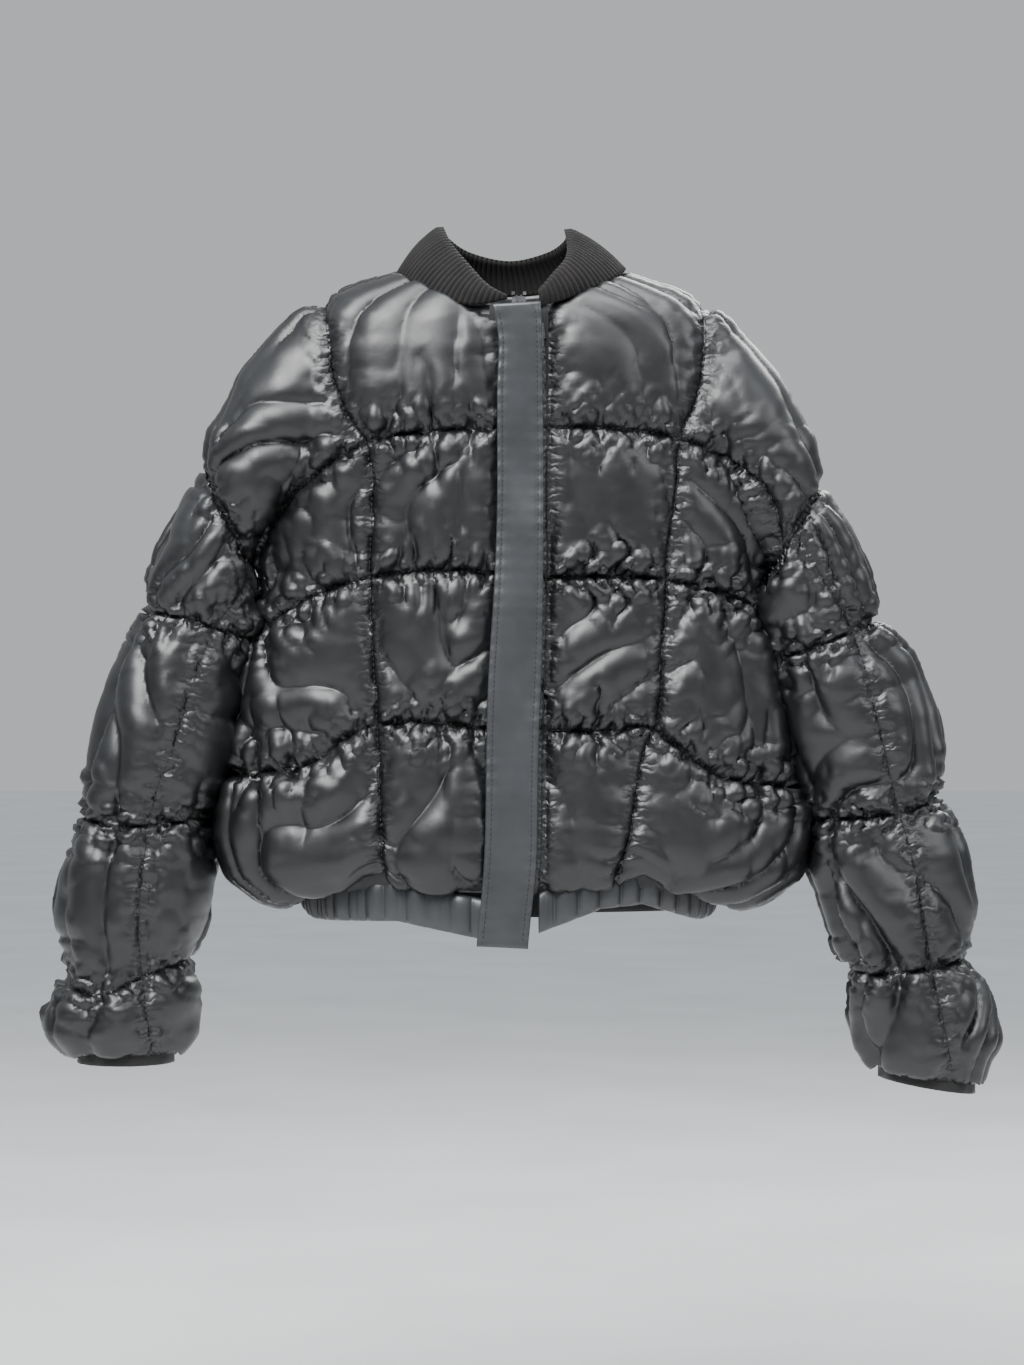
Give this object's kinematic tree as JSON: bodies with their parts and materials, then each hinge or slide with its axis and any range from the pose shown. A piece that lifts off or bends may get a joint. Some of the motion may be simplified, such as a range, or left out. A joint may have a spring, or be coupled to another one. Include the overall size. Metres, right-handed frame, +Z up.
{
  "type": "leather riding jacket",
  "caption": "Cropped bomber jacket in ruched black faux leather with a rib-knit collar, storm flap over a zip, puffy sleeves and gathered hem.",
  "frame": {"origin": "middle of the back neck seam, on the inside, where a hanger carries the jacket", "axes": "+X across the jacket, to the right as seen by someone who faces its front; +Y from front to back; +Z up"},
  "size_m": [0.769, 0.1774, 0.7045],
  "materials": {
    "shell_leather": "satin",
    "rib_knit": "matte",
    "elastic": "matte",
    "lining": "satin",
    "zip_tape": "matte",
    "zip_coil": "matte",
    "zip_metal": "satin"
  },
  "bodies": {
    "torso": {"back_panel_1": "shell_leather", "back_panel_2": "shell_leather", "back_panel_3": "shell_leather", "back_panel_4": "shell_leather", "front_yoke_left": "shell_leather", "front_centre_left_2": "shell_leather", "front_side_left_2": "shell_leather", "front_centre_left_3": "shell_leather", "front_side_left_3": "shell_leather", "front_centre_left_4": "shell_leather", "front_side_left_4": "shell_leather", "hem_band_left": "shell_leather", "front_yoke_right": "shell_leather", "front_centre_right_2": "shell_leather", "front_side_right_2": "shell_leather", "front_centre_right_3": "shell_leather", "front_side_right_3": "shell_leather", "front_centre_right_4": "shell_leather", "front_side_right_4": "shell_leather", "hem_band_right": "shell_leather", "hem_band_back": "shell_leather", "hem_elastic": "elastic", "collar": "rib_knit", "back_neck_facing": "shell_leather", "front_facing_left": "shell_leather", "front_facing_right": "shell_leather", "body_lining": "lining", "zip_tape_left": "zip_tape", "zip_coil_left": "zip_coil", "zip_tape_right": "zip_tape", "zip_coil_right": "zip_coil", "zip_top_stops": "zip_metal", "zip_pin": "zip_metal", "zip_box": "zip_metal", "zip_guard": "lining"},
    "storm_flap": {"storm_flap": "shell_leather"},
    "zip_slider": {"zip_slider": "zip_metal"},
    "zip_pull_tab": {"zip_pull_tab": "zip_metal"},
    "sleeve_upper_left": {"sleeve_cap_left": "shell_leather", "sleeve_front_left_2": "shell_leather", "sleeve_back_left_2": "shell_leather", "sleeve_lining_upper_left": "lining"},
    "sleeve_lower_left": {"sleeve_front_left_3": "shell_leather", "sleeve_back_left_3": "shell_leather", "sleeve_front_left_4": "shell_leather", "sleeve_back_left_4": "shell_leather", "cuff_left": "shell_leather", "cuff_elastic_left": "elastic", "sleeve_lining_lower_left": "lining"},
    "sleeve_upper_right": {"sleeve_cap_right": "shell_leather", "sleeve_front_right_2": "shell_leather", "sleeve_back_right_2": "shell_leather", "sleeve_lining_upper_right": "lining"},
    "sleeve_lower_right": {"sleeve_front_right_3": "shell_leather", "sleeve_back_right_3": "shell_leather", "sleeve_front_right_4": "shell_leather", "sleeve_back_right_4": "shell_leather", "cuff_right": "shell_leather", "cuff_elastic_right": "elastic", "sleeve_lining_lower_right": "lining"}
  },
  "joints": [
    {"name": "flap_hinge", "type": "hinge", "parent": "torso", "child": "storm_flap", "pos_m": [-0.013, -0.1414, -0.268], "axis": [0, 0, -1], "range_deg": [0, 140]},
    {"name": "zip_travel", "type": "slide", "parent": "torso", "child": "zip_slider", "axis": [0, 0, -1], "range_m": [0, 0.478]},
    {"name": "pull_tab_hinge", "type": "hinge", "parent": "zip_slider", "child": "zip_pull_tab", "pos_m": [0.007, -0.13035, -0.0214], "axis": [-1, 0, 0], "range_deg": [0, 12]},
    {"name": "shoulder_left", "type": "hinge", "parent": "torso", "child": "sleeve_upper_left", "pos_m": [-0.1723, -0.05, -0.103], "axis": [-0.9695, 0, 0.2449], "range_deg": [-15, 35]},
    {"name": "elbow_left", "type": "hinge", "parent": "sleeve_upper_left", "child": "sleeve_lower_left", "pos_m": [-0.252, -0.1105, -0.2678], "axis": [-0.9701, 0, 0.2425], "range_deg": [0, 60]},
    {"name": "shoulder_right", "type": "hinge", "parent": "torso", "child": "sleeve_upper_right", "pos_m": [0.1723, -0.05, -0.103], "axis": [-0.9695, 0, -0.2449], "range_deg": [-15, 35]},
    {"name": "elbow_right", "type": "hinge", "parent": "sleeve_upper_right", "child": "sleeve_lower_right", "pos_m": [0.251, -0.1105, -0.2798], "axis": [-0.921, 0, -0.3896], "range_deg": [0, 60]}
  ]
}
